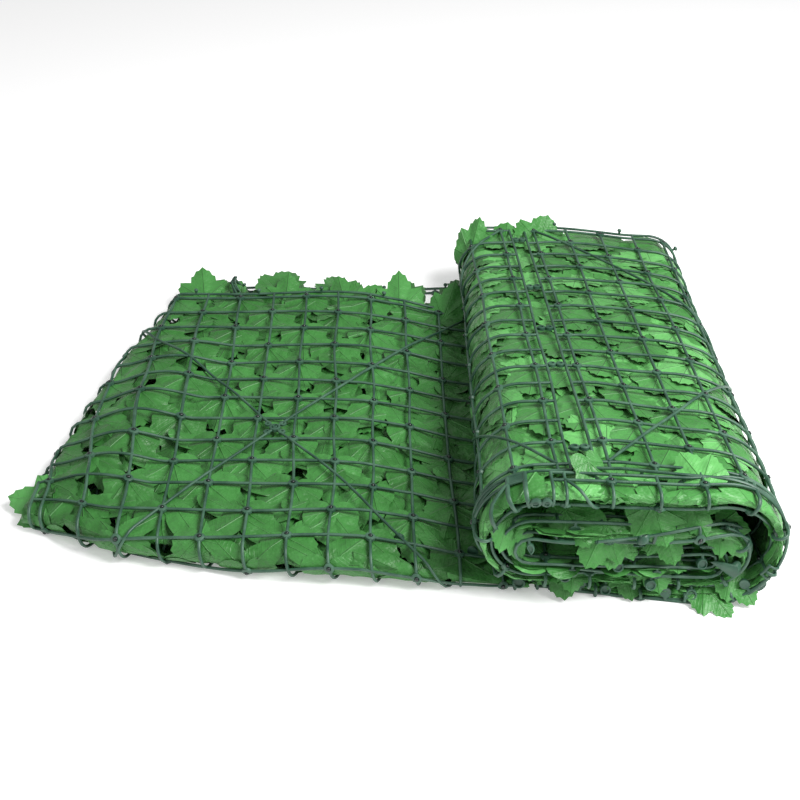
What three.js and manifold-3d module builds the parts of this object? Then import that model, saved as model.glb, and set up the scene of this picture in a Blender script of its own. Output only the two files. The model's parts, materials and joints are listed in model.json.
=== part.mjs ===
// Artificial ivy privacy screen, half unrolled: moulded net panels with leaves on one side,
// joined end to end, folded double with the leaves inside, and wound into a flattened roll.
// Millimetres. +X runs along the screen from its loose end to the roll, +Y across it, away
// from the near edge, and +Z up. Places are first worked out from the middle of the flat top
// panel, and the whole part is then set with the middle of its base at the origin.
import * as THREE from 'three';
import { mergeVertices } from 'three/addons/utils/BufferGeometryUtils.js';
import Module from 'manifold-3d';

const wasm = await Module();
wasm.setup();

// One net panel
const PITCH = 30;                        // the net's own square cell
const COARSE = 2 * PITCH;                // the cell cut through here, twice the net's own
const PANEL = { length: 12 * PITCH, width: 16 * PITCH };
const SEAM = PITCH / 2;                  // between one panel's edge bar and the next one's
const BAR = 2.6;                         // width and depth of a bar
const RIB = { width: 2.4, depth: 2.0 };  // the bars from the corners to the hub
const HUB = { across: 13, depth: 3.2, sides: 8 };
const CLEAR = 0.4;                       // between a net and the leaves it lies on
const SCREEN = 8 * PANEL.length + 7 * SEAM;   // the whole screen from end to end

// The loose end
const LOOSE_END = -PANEL.length / 2;     // x of the panels' free edge
const FLOOR_Z = BAR / 2;                 // a net's middle where it lies on the surface
const FLAP_INSET = 6;                    // how far inside the top net's folds the floor net turns in

// The floor net along the loose end: how far it is lifted over the tucked edge, and the bend
// radius of its own turned-in margins
const FLOOR_FOLDS = [{ x: 80, lift: 4.4, turn: 3.2 }, { x: 145, lift: 3, turn: 1.6 }];

// Height of the top net along the loose end, down into the crevice beside the roll
const TOP_HEIGHT = [
  { x: -175, z: 19.25 }, { x: -150, z: 23 }, { x: -110, z: 26 }, { x: 70, z: 26 },
  { x: 110, z: 21 }, { x: 140, z: 14.5 }, { x: 162, z: 11 }, { x: 200, z: 10 },
];

// Two straight folds where the loose end's margins turn under, each from one point to the other.
// A turned margin leans along the screen towards the corner, and lies square beside the roll.
const NEAR_FOLD = { from: { x: 155, y: -173 }, to: { x: -190, y: -116 }, lean: 0.35 };
const LEFT_FOLD = { from: { x: -178, y: -92 }, to: { x: -102, y: 240 }, lean: 0 };
const LEAN_ZONE = { from: -60, to: -180 };
const SQUARE_ZONE = { from: 160, to: 60 };
const CORNER = { from: -105, to: -185, lift: 24, fade: 130 };  // the near left corner is drawn in

// Between the corners both folded edges bow outwards, more the nearer a point is to the edge
const LEFT_BOW = { middle: 75, half: 165, reach: 8, from: -40, to: -130 };
const NEAR_BOW = { middle: 0, half: 150, reach: 5, from: -60, to: -120 };

// The top net is humped along its left fold, and is dragged to the near side beside the roll
const RIDGE = { rise: 10, crest: 44, half: 44, far: { from: 190, to: 90 }, near: { from: -110, to: -70 } };
const DRAG = { reach: 14, from: 20, to: 175 };

// The winding. A row is one bend: its side, how far out it reaches, and the heights of the runs
// that it joins, for the outer net and for the inner one. y is the near edge's place there.
const NEAR = [
  { side: 1, outer: 365, outerIn: 1.3, outerOut: 103, inner: 355, innerIn: 8, innerOut: 90, y: -200 },
  { side: -1, outer: 150, outerIn: 103, outerOut: 15, inner: 160, innerIn: 90, innerOut: 24, y: -174 },
  { side: 1, outer: 342, outerIn: 12, outerOut: 70, inner: 334, innerIn: 19, innerOut: 56, y: -197 },
  { side: -1, outer: 167, outerIn: 73, outerOut: 31, inner: 177, innerIn: 60, innerOut: 40, y: -190 },
  { side: 1, outer: 326, outerIn: 23, outerOut: 51, inner: 319, innerIn: 30, innerOut: 43, y: -196 },
];
const FAR = [
  { side: 1, outer: 375, outerIn: 1.3, outerOut: 61, inner: 368, innerIn: 6.6, innerOut: 53.5 },
  { side: -1, outer: 163, outerIn: 61, outerOut: 10.6, inner: 171, innerIn: 53.5, innerOut: 16.2 },
  { side: 1, outer: 356, outerIn: 10, outerOut: 44, inner: 350, innerIn: 14.5, innerOut: 38 },
  { side: -1, outer: 177, outerIn: 44.5, outerOut: 20.4, inner: 185, innerIn: 38.6, innerOut: 26 },
  { side: 1, outer: 342, outerIn: 18.4, outerOut: 33.6, inner: 337, innerIn: 23.2, innerOut: 28.4 },
];
const NEAR_EDGE_START = -188;            // y of the outer net's near edge at the loose end

// Leaves: they overlap in staggered rows, and their tips stand out at the edges
const LEAF = { width: 42, row: 36, relief: 3.5 };
const TIPS = { pitch: 44, reach: 13 };
const LEAF_END = 174;                    // where the loose end's leaves stop, under the roll
const FAR_LEAVES = { from: 243, y: 272, low: 15, high: 25 };  // they stand past the top net

const mix = THREE.MathUtils.lerp;

// Eases from 0 to 1 as the value goes from one bound to the other, which may be the lower one
function smooth(from, to, value) {
  const t = THREE.MathUtils.clamp((value - from) / (to - from), 0, 1);
  return t * t * (3 - 2 * t);
}

// Reads one column of a table of rows sorted by another, with a straight line between rows
function along(rows, key, at, column) {
  if (at <= rows[0][key]) return rows[0][column];
  for (let i = 1; i < rows.length; i++) {
    const a = rows[i - 1];
    const b = rows[i];
    if (at <= b[key]) return mix(a[column], b[column], (at - a[key]) / (b[key] - a[key]));
  }
  return rows[rows.length - 1][column];
}

// A net's way through the winding at one end of the roll: straight runs joined by half circles
class Route {
  constructor(rows, net, start) {
    this.parts = [];
    this.length = 0;
    let from = start;
    for (const row of rows) {
      const low = row[net + 'In'];
      const high = row[net + 'Out'];
      const radius = Math.abs(high - low) / 2;
      const centre = { x: row[net] - row.side * radius, z: (low + high) / 2 };
      this.add({ from, to: { x: centre.x, z: low } });
      const begin = low < high ? -Math.PI / 2 : Math.PI / 2;
      this.add({ centre, radius, begin, sweep: row.side * Math.sign(high - low) * Math.PI });
      from = { x: centre.x, z: high };
    }
    this.last = from;
  }
  add(part) {
    const run = part.centre ? Math.abs(part.sweep) * part.radius
      : Math.hypot(part.to.x - part.from.x, part.to.z - part.from.z);
    this.parts.push({ ...part, start: this.length, run });
    this.length += run;
  }
  partAt(s) {
    return this.parts.find((p) => s <= p.start + p.run) ?? this.parts[this.parts.length - 1];
  }
  at(s) {
    const part = this.partAt(s);
    const t = (s - part.start) / part.run;
    if (!part.centre) return { x: mix(part.from.x, part.to.x, t), z: mix(part.from.z, part.to.z, t) };
    const angle = part.begin + t * part.sweep;
    return {
      x: part.centre.x + part.radius * Math.cos(angle),
      z: part.centre.z + part.radius * Math.sin(angle),
    };
  }
}

// Both nets at one end of the roll. They are one screen: the inner net goes on from the outer
// one round a fold in the middle of the roll, placed so that the two together have its length.
function winding(rows) {
  const outer = new Route(rows, 'outer', { x: LOOSE_END, z: FLOOR_Z });
  const inner = new Route(rows, 'inner', { x: LOOSE_END, z: rows[0].innerIn });
  const left = (SCREEN - outer.length - inner.length) / 2;
  for (const route of [outer, inner]) {
    route.add({ from: route.last, to: { x: route.last.x - left, z: route.last.z } });
  }
  return { outer, inner };
}

const ends = { near: winding(NEAR), far: winding(FAR) };

// y of the near edge along the outer net, by the length run
const NEAR_EDGE = [{ s: 0, y: NEAR_EDGE_START }, { s: 335, y: -176 }];
ends.near.outer.parts.filter((p) => p.centre).forEach((p, i) => {
  NEAR_EDGE.push({ s: p.start + p.run / 2, y: NEAR[i].y });
});

// A point of the wound screen: s along the near end's net, v across from its near edge
function wound(net, s, v) {
  const a = ends.near[net].at(s);
  const b = ends.far[net].at(s);
  const across = v / PANEL.width;
  const nearY = along(NEAR_EDGE, 's', s, 'y');
  const reach = Math.sqrt(PANEL.width ** 2 - (a.z - b.z) ** 2 - (a.x - b.x) ** 2);
  return new THREE.Vector3(mix(a.x, b.x, across), nearY + reach * across, mix(a.z, b.z, across));
}

// Turns a flat sheet about a straight fold: what lies beyond it goes round a half circle and
// back, down by twice the radius or up if the radius is negative. The fold may be set in.
function fold(point, line, radius, inset = 0) {
  const direction = new THREE.Vector2(line.to.x - line.from.x, line.to.y - line.from.y).normalize();
  const out = new THREE.Vector2(direction.y, -direction.x);
  if (out.x > 0) out.negate();
  const beyond = (point.x - line.from.x) * out.x + (point.y - line.from.y) * out.y + inset;
  if (beyond <= 0) return point;
  const size = Math.abs(radius);
  const turn = Math.min(beyond / size, Math.PI);
  const reach = turn < Math.PI ? size * Math.sin(turn) : Math.PI * size - beyond;
  const lean = Math.max(-reach, 0) * line.lean * smooth(LEAN_ZONE.from, LEAN_ZONE.to, point.x);
  const slant = smooth(SQUARE_ZONE.from, SQUARE_ZONE.to, point.x);
  point.x += (reach - beyond) * out.x * slant + lean;
  point.y += (reach - beyond) * out.y;
  point.z -= Math.sign(radius) * size * (1 - Math.cos(turn));
  return point;
}

// How far an edge's bow moves a point, from its place along the edge and across it
function bowed(bow, at, across) {
  const share = Math.max(0, 1 - ((at - bow.middle) / bow.half) ** 2);
  return bow.reach * share * smooth(bow.from, bow.to, across);
}

// Shapes the loose end in plan: its bowed edges, and the near left corner, where it is bunched
function settle(point) {
  const share = smooth(CORNER.from, CORNER.to, point.x);
  const { x, y } = point;
  point.x -= bowed(LEFT_BOW, y, x);
  point.y += CORNER.lift * share * (1 - smooth(-CORNER.fade, 0, y)) - bowed(NEAR_BOW, x, y);
  return point;
}

const foldEdge = (line, y) => mix(line.from.x, line.to.x, (y - line.from.y) / (line.to.y - line.from.y));
const foldDepth = (line, x) => mix(line.from.y, line.to.y, (x - line.from.x) / (line.to.x - line.from.x));
const topHeight = (x) => along(TOP_HEIGHT, 'x', x, 'z');
const drag = (x) => DRAG.reach * smooth(DRAG.from, DRAG.to, x);

// The hump along the left fold, which ends before the corners
function ridge(x, y) {
  const inside = (x - foldEdge(LEFT_FOLD, y) - RIDGE.crest) / RIDGE.half;
  const hump = Math.max(0, 1 - inside ** 2);
  return RIDGE.rise * hump ** 2 * smooth(RIDGE.far.from, RIDGE.far.to, y)
    * smooth(RIDGE.near.from, RIDGE.near.to, y);
}

// The flat top net: its near and left margins turn down and under
function topNet(u, v) {
  const x = LOOSE_END + u;
  const height = topHeight(x);
  const y = v - PANEL.width / 2 - drag(x);
  const point = new THREE.Vector3(x, y, height + ridge(x, y));
  fold(point, LEFT_FOLD, (height - FLOOR_Z) / 2);
  return settle(fold(point, NEAR_FOLD, Math.max((point.z - FLOOR_Z) / 2, 1)));
}

// How far the floor net is lifted over the tucked margins
function tuckLift(x, y) {
  const MARGIN = { near: 28, left: 30 };
  const FADE = 30;
  const turned = Math.PI * (topHeight(x) - FLOOR_Z) / 2;
  const nearTuck = PANEL.width / 2 + drag(x) + foldDepth(NEAR_FOLD, x) - turned + MARGIN.near;
  const near = smooth(nearTuck + FADE, nearTuck, y - foldDepth(NEAR_FOLD, x));
  const leftTuck = foldEdge(LEFT_FOLD, y) - LOOSE_END - turned + MARGIN.left;
  const left = smooth(leftTuck + FADE, leftTuck, x - foldEdge(LEFT_FOLD, y));
  return along(FLOOR_FOLDS, 'x', x, 'lift') * Math.max(near, left);
}

// The floor net: its near and left margins turn up and in, inside the top net's
function floorNet(u, v) {
  const x = LOOSE_END + u;
  const y = NEAR_EDGE_START + v;
  const turn = along(FLOOR_FOLDS, 'x', x, 'turn');
  const point = new THREE.Vector3(x, y, FLOOR_Z + tuckLift(x, y));
  fold(point, LEFT_FOLD, -turn, FLAP_INSET);
  return settle(fold(point, NEAR_FOLD, -turn, FLAP_INSET));
}

const panelStart = (number) => (number - 1) * (PANEL.length + SEAM);
const woundNet = (number) => (u, v) => wound('outer', panelStart(number) + u, v);

// The outward normal of a surface, and a point set off from it
function lifted(surface, u, v, off) {
  const STEP = 0.5;
  const du = surface(u + STEP, v).sub(surface(u - STEP, v));
  const dv = surface(u, v + STEP).sub(surface(u, v - STEP));
  return surface(u, v).addScaledVector(du.cross(dv).normalize(), off);
}

// Cuts a span between bars into equal steps, finer where the caller asks
function stations(steps, bars) {
  const edges = [];
  bars.forEach((bar, i) => {
    edges.push({ at: bar - BAR / 2, bar: true }, { at: bar + BAR / 2, bar: false });
    const next = bars[i + 1];
    if (next === undefined) return;
    const count = steps(bar, next);
    const from = bar + BAR / 2;
    const wide = next - bar - BAR;
    for (let k = 1; k < count; k++) edges.push({ at: from + (wide * k) / count, bar: false });
  });
  return edges;
}

const barsOf = (span) => Array.from({ length: span / COARSE + 1 }, (_, i) => i * COARSE);

// A solid from a sheet of cells: filled cells get a top and a bottom, and a wall beside each gap
function cellSolid(us, vs, filled, place) {
  const positions = [];
  const index = [];
  const seen = new Map();
  const vertex = (i, j, side) => {
    const key = `${i},${j},${side}`;
    if (!seen.has(key)) {
      seen.set(key, positions.length / 3);
      positions.push(...place(us[i], vs[j], side).toArray());
    }
    return seen.get(key);
  };
  const quad = (a, b, c, d) => index.push(a, b, c, a, c, d);
  const is = (i, j) => i >= 0 && j >= 0 && i < us.length - 1 && j < vs.length - 1 && filled(i, j);
  for (let i = 0; i < us.length - 1; i++) {
    for (let j = 0; j < vs.length - 1; j++) {
      if (!is(i, j)) continue;
      const [a, b, c, d] = [[i, j], [i + 1, j], [i + 1, j + 1], [i, j + 1]];
      const top = [a, b, c, d].map(([p, q]) => vertex(p, q, 1));
      const low = [a, b, c, d].map(([p, q]) => vertex(p, q, -1));
      quad(...top);
      quad(low[3], low[2], low[1], low[0]);
      if (!is(i, j - 1)) quad(low[0], low[1], top[1], top[0]);
      if (!is(i + 1, j)) quad(low[1], low[2], top[2], top[1]);
      if (!is(i, j + 1)) quad(low[2], low[3], top[3], top[2]);
      if (!is(i - 1, j)) quad(low[3], low[0], top[0], top[3]);
    }
  }
  const geometry = new THREE.BufferGeometry();
  geometry.setAttribute('position', new THREE.Float32BufferAttribute(positions, 3));
  geometry.setIndex(index);
  return geometry;
}

function toSolid(geometry) {
  const bare = mergeVertices(geometry, 1e-4);
  return new wasm.Manifold(new wasm.Mesh({
    numProp: 3,
    vertProperties: new Float32Array(bare.attributes.position.array),
    triVerts: new Uint32Array(bare.index.array),
  }));
}

function toGeometry(solid) {
  const mesh = solid.getMesh();
  const geometry = new THREE.BufferGeometry();
  geometry.setAttribute('position', new THREE.BufferAttribute(new Float32Array(mesh.vertProperties), 3));
  geometry.setIndex(new THREE.BufferAttribute(new Uint32Array(mesh.triVerts), 1));
  geometry.computeVertexNormals();
  return geometry;
}

// One bar from a corner of the panel to its hub, on the same surface as the net
function rib(surface, from, to, steps) {
  const length = Math.hypot(to.u - from.u, to.v - from.v);
  const side = { u: -(to.v - from.v) / length, v: (to.u - from.u) / length };
  const us = Array.from({ length: steps + 1 }, (_, i) => i / steps);
  const vs = [-RIB.width / 2, RIB.width / 2];
  return cellSolid(us, vs, () => true, (t, w, up) => lifted(
    surface, mix(from.u, to.u, t) + side.u * w, mix(from.v, to.v, t) + side.v * w, up * RIB.depth / 2,
  ));
}

// The disc in the middle of the panel where the four ribs meet
function hub(surface) {
  const middle = { u: PANEL.length / 2, v: PANEL.width / 2 };
  const centre = surface(middle.u, middle.v);
  const up = lifted(surface, middle.u, middle.v, 1).sub(centre);
  const disc = new THREE.CylinderGeometry(HUB.across / 2, HUB.across / 2, HUB.depth, HUB.sides);
  disc.deleteAttribute('normal');
  disc.deleteAttribute('uv');
  disc.applyQuaternion(new THREE.Quaternion().setFromUnitVectors(new THREE.Vector3(0, 1, 0), up));
  disc.translate(...centre.toArray());
  return disc;
}

// A net panel on a surface. links are bars carried on over the seam to the next panel.
function netPanel(surface, { lengthSteps, widthSteps, ribSteps, links }) {
  const uBars = barsOf(PANEL.length);
  const vBars = barsOf(PANEL.width);
  const us = stations(lengthSteps, uBars);
  const vs = stations(widthSteps, vBars);
  const reach = links ? PANEL.length + SEAM - BAR / 2 - CLEAR : null;
  if (links) us.push({ at: reach, bar: false });
  const isLink = (v) => links?.some((at) => Math.abs(v - at) < BAR);
  const filled = (i, j) => {
    if (us[i].at >= PANEL.length + BAR / 4) return vs[j].bar && isLink(vs[j].at + BAR / 2);
    return us[i].bar || vs[j].bar;
  };
  const net = cellSolid(us.map((p) => p.at), vs.map((p) => p.at), filled,
    (u, v, up) => lifted(surface, u, v, up * BAR / 2));
  let solid = toSolid(net);
  if (ribSteps) {
    const middle = { u: PANEL.length / 2, v: PANEL.width / 2 };
    for (const u of [0, PANEL.length]) {
      for (const v of [0, PANEL.width]) {
        solid = solid.add(toSolid(rib(surface, { u, v }, middle, ribSteps)));
      }
    }
    solid = solid.add(toSolid(hub(surface)));
  }
  return toGeometry(solid);
}

const BEND_CLEAR = 2.4;                  // more room under a net where it is bent

// How deep the leaves' surface lies: 0 on a leaf's crown, 1 in the gap between leaves
function leafRelief(u, v) {
  const row = Math.round(v / LEAF.row);
  const shift = row % 2 === 0 ? 0 : LEAF.width / 2;
  const du = ((u + shift) / LEAF.width - Math.round((u + shift) / LEAF.width)) * 2;
  const dv = (v / LEAF.row - row) * 2;
  return Math.min(1, (du * du + dv * dv) / 1.6);
}

// A saw of leaf tips along an edge, from 0 to 1
const tips = (at) => Math.abs((((at / TIPS.pitch) % 1) + 1) % 1 * 2 - 1);

// The leaves of the loose end, between its two nets: a lumpy slab. Its outer rows are noses
// that fit inside the turned margins, and its far edge is a row of standing tips. Beside the
// roll and in the twice folded corner it stops further inside the folds.
function looseLeaves(columns, rows) {
  const WALL = 10;                       // from a fold line to the leaves' top edge
  const NOSE = 9;                        // what a nose stays short of the turned margin
  const SPAN = { roll: 45, corner: 20 };
  const ROLL_ZONE = { from: 90, to: 120 };
  const CORNER_ZONE = { from: -50, to: -75 };
  const FLAP = { near: [115, 95], left: [85, 65], leftFrom: [-90, -60] };  // reach of a flap
  const TIP_ZONE = { from: 150, to: 110, rise: 6 };
  const gap = BAR / 2 + CLEAR;
  const place = (i, j, side) => {
    const across = Math.min(1, Math.max(j - 1, 0) / (rows - 2));
    const level = mix(NEAR_FOLD.from.y, FAR_LEAVES.from, across);
    const edge = Math.max(foldEdge(LEFT_FOLD, level), LOOSE_END + WALL) + WALL
      + SPAN.corner * smooth(CORNER_ZONE.from, CORNER_ZONE.to, level);
    let x = mix(edge, LEAF_END, Math.max(i - 1, 0) / (columns - 1));
    const nearRim = foldDepth(NEAR_FOLD, x) + WALL
      + SPAN.roll * smooth(ROLL_ZONE.from, ROLL_ZONE.to, x);
    let y = mix(nearRim, FAR_LEAVES.from, across);
    const height = topHeight(x);
    const turn = along(FLOOR_FOLDS, 'x', x, 'turn');
    const flap = Math.max(
      smooth(...FLAP.near, y - foldDepth(NEAR_FOLD, x)),
      smooth(...FLAP.left, x + LOOSE_END - 2 * edge) * smooth(...FLAP.leftFrom, y),
    );
    let top = height + ridge(x, y) - gap - LEAF.relief * leafRelief(x, y);
    let low = FLOOR_Z + along(FLOOR_FOLDS, 'x', x, 'lift') + gap + 2 * turn * flap;
    if (j === rows) {
      const tip = tips(x);
      const standing = smooth(TIP_ZONE.from, TIP_ZONE.to, x);
      y = FAR_LEAVES.y + TIPS.reach * tip;
      top = mix(top, FAR_LEAVES.high + TIP_ZONE.rise * tip, standing);
      low = mix(low, FAR_LEAVES.low + TIP_ZONE.rise * tip, standing);
    }
    if (i === 0 || j === 0) {
      const reach = Math.max((height - FLOOR_Z) / 2 - NOSE, 1);
      if (i === 0 && j < rows) x -= reach;
      if (j === 0) y -= reach;
      const waist = (top + low) / 2;
      top = waist + 1;
      low = waist - 1;
    }
    low = Math.min(low, top - 1);
    return settle(new THREE.Vector3(x, y, side > 0 ? top : low));
  };
  const us = Array.from({ length: columns + 1 }, (_, i) => i);
  const vs = Array.from({ length: rows + 1 }, (_, j) => j);
  return cellSolid(us, vs, () => true, place);
}

// The doubled screen's thickness through the winding, by the length run along the outer net:
// at each end of a run, and in the middle of a bend
const thickness = Object.fromEntries(['near', 'far'].map((end) => {
  const { outer, inner } = ends[end];
  const rows = outer.parts.flatMap((part, i) => {
    const other = inner.parts[i];
    const row = (share, axis) => {
      const s = part.start + part.run * share;
      return { s, t: Math.abs(outer.at(s)[axis] - inner.at(other.start + other.run * share)[axis]) };
    };
    return part.centre ? [row(0.5, 'x')] : [row(0.01, 'z'), row(0.99, 'z')];
  });
  return [end, rows];
}));

// The wound leaves, with the inner net and the innermost turns moulded in: one band from the
// loose end's leaves to the fold in the middle of the roll
function woundLeaves(widthSteps) {
  const STEP = { bend: 13, run: 40 };
  const NECK = 1.5;                      // the band's least thickness
  const RELIEF_SHARE = 0.4;              // the leaves are pressed flatter here than in the loose end
  const FAR_TIPS = 0.5;                  // and their tips reach less far at the far end
  const STEP_OUT = { from: 20, to: 32 }; // past the last separate net the band takes its place
  const start = PANEL.length + BAR / 2 + 2 * CLEAR;
  const free = panelStart(4) - SEAM;     // past here the outer net is part of the band
  const routes = [ends.near.outer, ends.far.outer];
  const isBent = (s) => routes.some((route) => route.partAt(s).centre);
  const breaks = [start, ...routes.flatMap((route) => route.parts.map((p) => p.start + p.run))]
    .filter((s) => s >= start && s <= ends.near.outer.length).sort((a, b) => a - b)
    .filter((s, i, all) => i === 0 || s - all[i - 1] > 4);
  const us = [start];
  for (let i = 1; i < breaks.length; i++) {
    const span = breaks[i] - breaks[i - 1];
    const count = Math.ceil(span / (isBent(breaks[i] - span / 2) ? STEP.bend : STEP.run));
    for (let k = 1; k <= count; k++) us.push(breaks[i - 1] + (span * k) / count);
  }
  const surface = (u, v) => wound('outer', u, v);
  const vs = Array.from({ length: widthSteps + 1 }, (_, j) => (PANEL.width * j) / widthSteps);
  return cellSolid(us, vs, () => true, (u, v, side) => {
    const across = v / PANEL.width;
    const thick = mix(along(thickness.near, 's', u, 't'), along(thickness.far, 's', u, 't'), across);
    const over = BAR / 2 + 2 * CLEAR + (isBent(u) ? BEND_CLEAR : 0)
      + RELIEF_SHARE * LEAF.relief * leafRelief(u, v);
    const skin = mix(over, -BAR / 2, smooth(free + STEP_OUT.from, free + STEP_OUT.to, u));
    const reach = across === 0 ? -TIPS.reach * tips(u) : FAR_TIPS * TIPS.reach * tips(u);
    const rim = across > 0 && across < 1 ? 0 : reach;
    const depth = side > 0 ? Math.max(thick + BAR / 2, skin + NECK) : skin;
    return lifted(surface, u, v, depth).add(new THREE.Vector3(0, rim, 0));
  });
}

const NET_GREEN = 0x3f6650;
const LEAF_GREEN = 0x4ba04b;

function piece(name, geometry, colour, roughness) {
  const material = new THREE.MeshStandardMaterial({ color: colour, roughness, metalness: 0 });
  const mesh = new THREE.Mesh(geometry, material);
  mesh.name = name;
  return mesh;
}

const part = new THREE.Group();
const LINKS = [60, 180, 300, 420];       // v of the bars that carry on over a seam
const fine = (limit, steps, plain) => (from) => (from < limit ? steps : plain);
part.add(piece('net_floor', netPanel(floorNet, {
  lengthSteps: fine(2 * COARSE, 3, 1), widthSteps: fine(COARSE + 1, 4, 1), links: LINKS.slice(1),
}), NET_GREEN, 0.5));
part.add(piece('net_top', netPanel(topNet, {
  lengthSteps: fine(2 * COARSE, 4, 2), widthSteps: fine(2 * COARSE + 1, 5, 1), ribSteps: 11,
}), NET_GREEN, 0.5));
part.add(piece('net_roll_1', netPanel(woundNet(2), {
  lengthSteps: () => 3, widthSteps: () => 1, ribSteps: 10, links: LINKS,
}), NET_GREEN, 0.5));
part.add(piece('net_roll_2', netPanel(woundNet(3), {
  lengthSteps: (from) => (from < 4 * COARSE ? 3 : 5), widthSteps: () => 1, ribSteps: 10,
}), NET_GREEN, 0.5));

part.add(piece('leaves_loose_end', toGeometry(toSolid(looseLeaves(16, 18))), LEAF_GREEN, 0.6));
part.add(piece('leaves_roll', toGeometry(toSolid(woundLeaves(8))), LEAF_GREEN, 0.6));

const box = new THREE.Box3().setFromObject(part);
const middle = box.getCenter(new THREE.Vector3());
part.position.set(-middle.x, -middle.y, -box.min.z);

export default part;
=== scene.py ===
"""Artificial ivy privacy screen, half unrolled: moulded net panels with pegged fabric leaves.

The screen is one strip of eight net panels, folded double with its leaves inside, laid flat at
its loose end and wound into a flattened roll. Each panel is modelled flat, in its own u, v and
depth in millimetres, and is then bent onto the surface that it lies on. Places on the ground
are worked out from the middle of the flat top panel and moved to the frame at the end.
"""

import json
import math

import bpy
import numpy as np
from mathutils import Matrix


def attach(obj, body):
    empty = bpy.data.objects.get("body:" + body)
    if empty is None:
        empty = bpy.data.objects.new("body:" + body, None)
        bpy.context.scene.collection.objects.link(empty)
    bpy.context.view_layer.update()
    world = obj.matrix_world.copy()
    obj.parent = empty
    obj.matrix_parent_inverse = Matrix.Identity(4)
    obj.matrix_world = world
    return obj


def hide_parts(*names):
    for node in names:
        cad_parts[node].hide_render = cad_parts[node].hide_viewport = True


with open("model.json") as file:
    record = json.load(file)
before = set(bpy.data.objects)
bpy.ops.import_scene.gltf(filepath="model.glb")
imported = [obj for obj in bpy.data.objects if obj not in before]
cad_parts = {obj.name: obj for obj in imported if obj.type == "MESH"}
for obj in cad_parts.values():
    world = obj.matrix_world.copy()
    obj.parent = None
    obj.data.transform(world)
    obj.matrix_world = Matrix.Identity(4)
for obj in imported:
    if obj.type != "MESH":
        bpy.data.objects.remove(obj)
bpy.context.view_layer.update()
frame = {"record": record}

# The net, in millimetres
LENGTH, WIDTH = 360.0, 480.0             # one panel, along the screen and across it
CELLS = (11, 15)                         # its even cells, along and across
EDGE_CELL = 9.0                          # the narrow cells along its edges
SEAM = 15.0                              # between two panels, bridged by their connectors
STEP = LENGTH + SEAM
PANELS = 8
SCREEN = PANELS * STEP - SEAM
BAR = 2.4                                # how thick a bar is
THIN_BAR = 2.2                           # the same of a connector or a tab
FLOOR_Z = 1.3                            # height of the middle of the bars on the ground
LOOSE_END = -LENGTH / 2
LOWEST = 0.3                             # how close to the ground a point may lie

# The underside mount is a crossing of the floor net, so it ties these places to the frame
MOUNT_PLACE = np.array([60.0, 112.0, 0.0])
SHIFT = 1000 * np.array(frame["record"]["mounts"][0]["pos_m"]) - MOUNT_PLACE

# Height of the top net along the loose end, and the two folds where its margins turn under
TOP_HEIGHT = np.array([(-175, 19.25), (-150, 23), (-110, 26), (70, 26), (110, 21), (140, 14.5),
                       (162, 11), (200, 10)])
NEAR_FOLD = {"from": (155, -173), "to": (-190, -116), "lean": 0.35}
LEFT_FOLD = {"from": (-178, -92), "to": (-102, 240), "lean": 0.0}
LEAN_ZONE = (-60, -180)                  # x where a turned margin begins to lean, and leans fully
SQUARE_ZONE = (160, 60)                  # x where it turns straight across, and square to its fold

# The bunched near left corner, the bows of two edges, the ridge along the left fold, and how far
# the roll drags the top net to the near side
CORNER = {"from": -105, "to": -185, "lift": 24, "fade": 130}
LEFT_BOW = {"middle": 75, "half": 165, "reach": 8, "from": -40, "to": -130}
NEAR_BOW = {"middle": 0, "half": 150, "reach": 5, "from": -60, "to": -120}
RIDGE = {"rise": 10, "crest": 44, "half": 44, "far": (190, 90), "near": (-110, -70)}
DRAG = {"reach": 14, "from": 20, "to": 175}

# The floor net: how far inside the top net's folds its own lie, how far it is lifted over the top
# net's margins, the radius of its own turned ones, and its far left corner, pulled out and up
FLAP_INSET = 6
FLOOR_LIFT = np.array([(80, 4.4), (145, 3.0)])
FLOOR_TURN = np.array([(80, 3.2), (145, 1.6)])
FLOOR_CORNER = {"move": (-45, 14, 18), "across": (425, 480), "along": (50, 0)}

# A panel's unevenness: how many waves it has, the least length of one along or across it, and
# about how far they move it along, across and off, on most panels and on the flat top one
WAVES, WAVE_LENGTH = 6, 110
WAVE_REACH = np.array([1.3, 1.3, 1.0])
TOP_WAVE_REACH = np.array([1.6, 1.6, 2.2])

# The winding, a row for each bend: side, reach of the outer net and the heights of the runs that
# it joins, and the same of the inner net
NEAR = [(1, 365, 1.3, 103, 355, 8, 90),
        (-1, 150, 103, 15, 160, 90, 24),
        (1, 342, 12, 70, 334, 19, 56),
        (-1, 167, 73, 31, 177, 60, 40),
        (1, 326, 23, 51, 319, 30, 43)]
FAR = [(1, 375, 1.3, 61, 368, 6.6, 53.5),
       (-1, 163, 61, 10.6, 171, 53.5, 16.2),
       (1, 356, 10, 44, 350, 14.5, 38),
       (-1, 177, 44.5, 20.4, 185, 38.6, 26),
       (1, 342, 18.4, 33.6, 337, 23.2, 28.4)]

# By the length run from the loose end: y of the outer net's near edge, y of the line where the
# inner net turns over the leaves' edges, and the width of its turned margin
NEAR_EDGE = np.array([(0, -188), (335, -176), (377, -174), (405, -182), (430, -187), (487, -195),
                      (575, -197), (640, -188), (715, -173), (860, -174), (1110, -197),
                      (1320, -190), (1500, -196)])
TURN_LINE = np.array([(375, -174), (430, -187), (487, -194), (575, -200), (640, -203),
                      (720, -197), (860, -188), (1000, -194), (1110, -198), (1320, -192),
                      (1500, -195)])
MARGIN = np.array([(375, 30), (430, 22), (520, 22), (600, 40), (860, 40), (1000, 28), (1150, 0)])

rng = np.random.default_rng(7)


def smooth(start, end, value):
    """Eases from 0 to 1 as the value goes from start to end, which may be the lower one."""
    t = np.clip((value - start) / (end - start), 0, 1)
    return t * t * (3 - 2 * t)


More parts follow.
